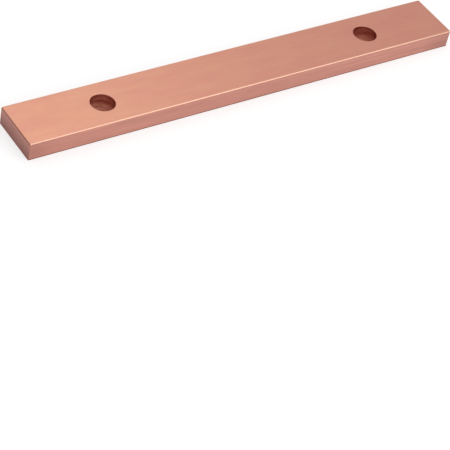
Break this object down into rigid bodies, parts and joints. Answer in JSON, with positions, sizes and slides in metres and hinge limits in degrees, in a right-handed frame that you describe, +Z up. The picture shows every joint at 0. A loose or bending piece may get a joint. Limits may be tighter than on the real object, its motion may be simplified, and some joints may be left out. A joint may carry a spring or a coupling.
{
  "type": "copper busbar",
  "caption": "Short flat copper bar with a plain bolt hole near each end, joining conductors in a switchboard.",
  "frame": {"origin": "centre of the underside", "axes": "+X along the bar's length, +Y across its width, +Z up out of the top face"},
  "size_m": [0.26, 0.03, 0.01],
  "materials": {
    "copper": "drawn bare copper, satin, with faint lengthwise lines"
  },
  "bodies": {
    "root": {"busbar": "copper"}
  },
  "joints": []
}
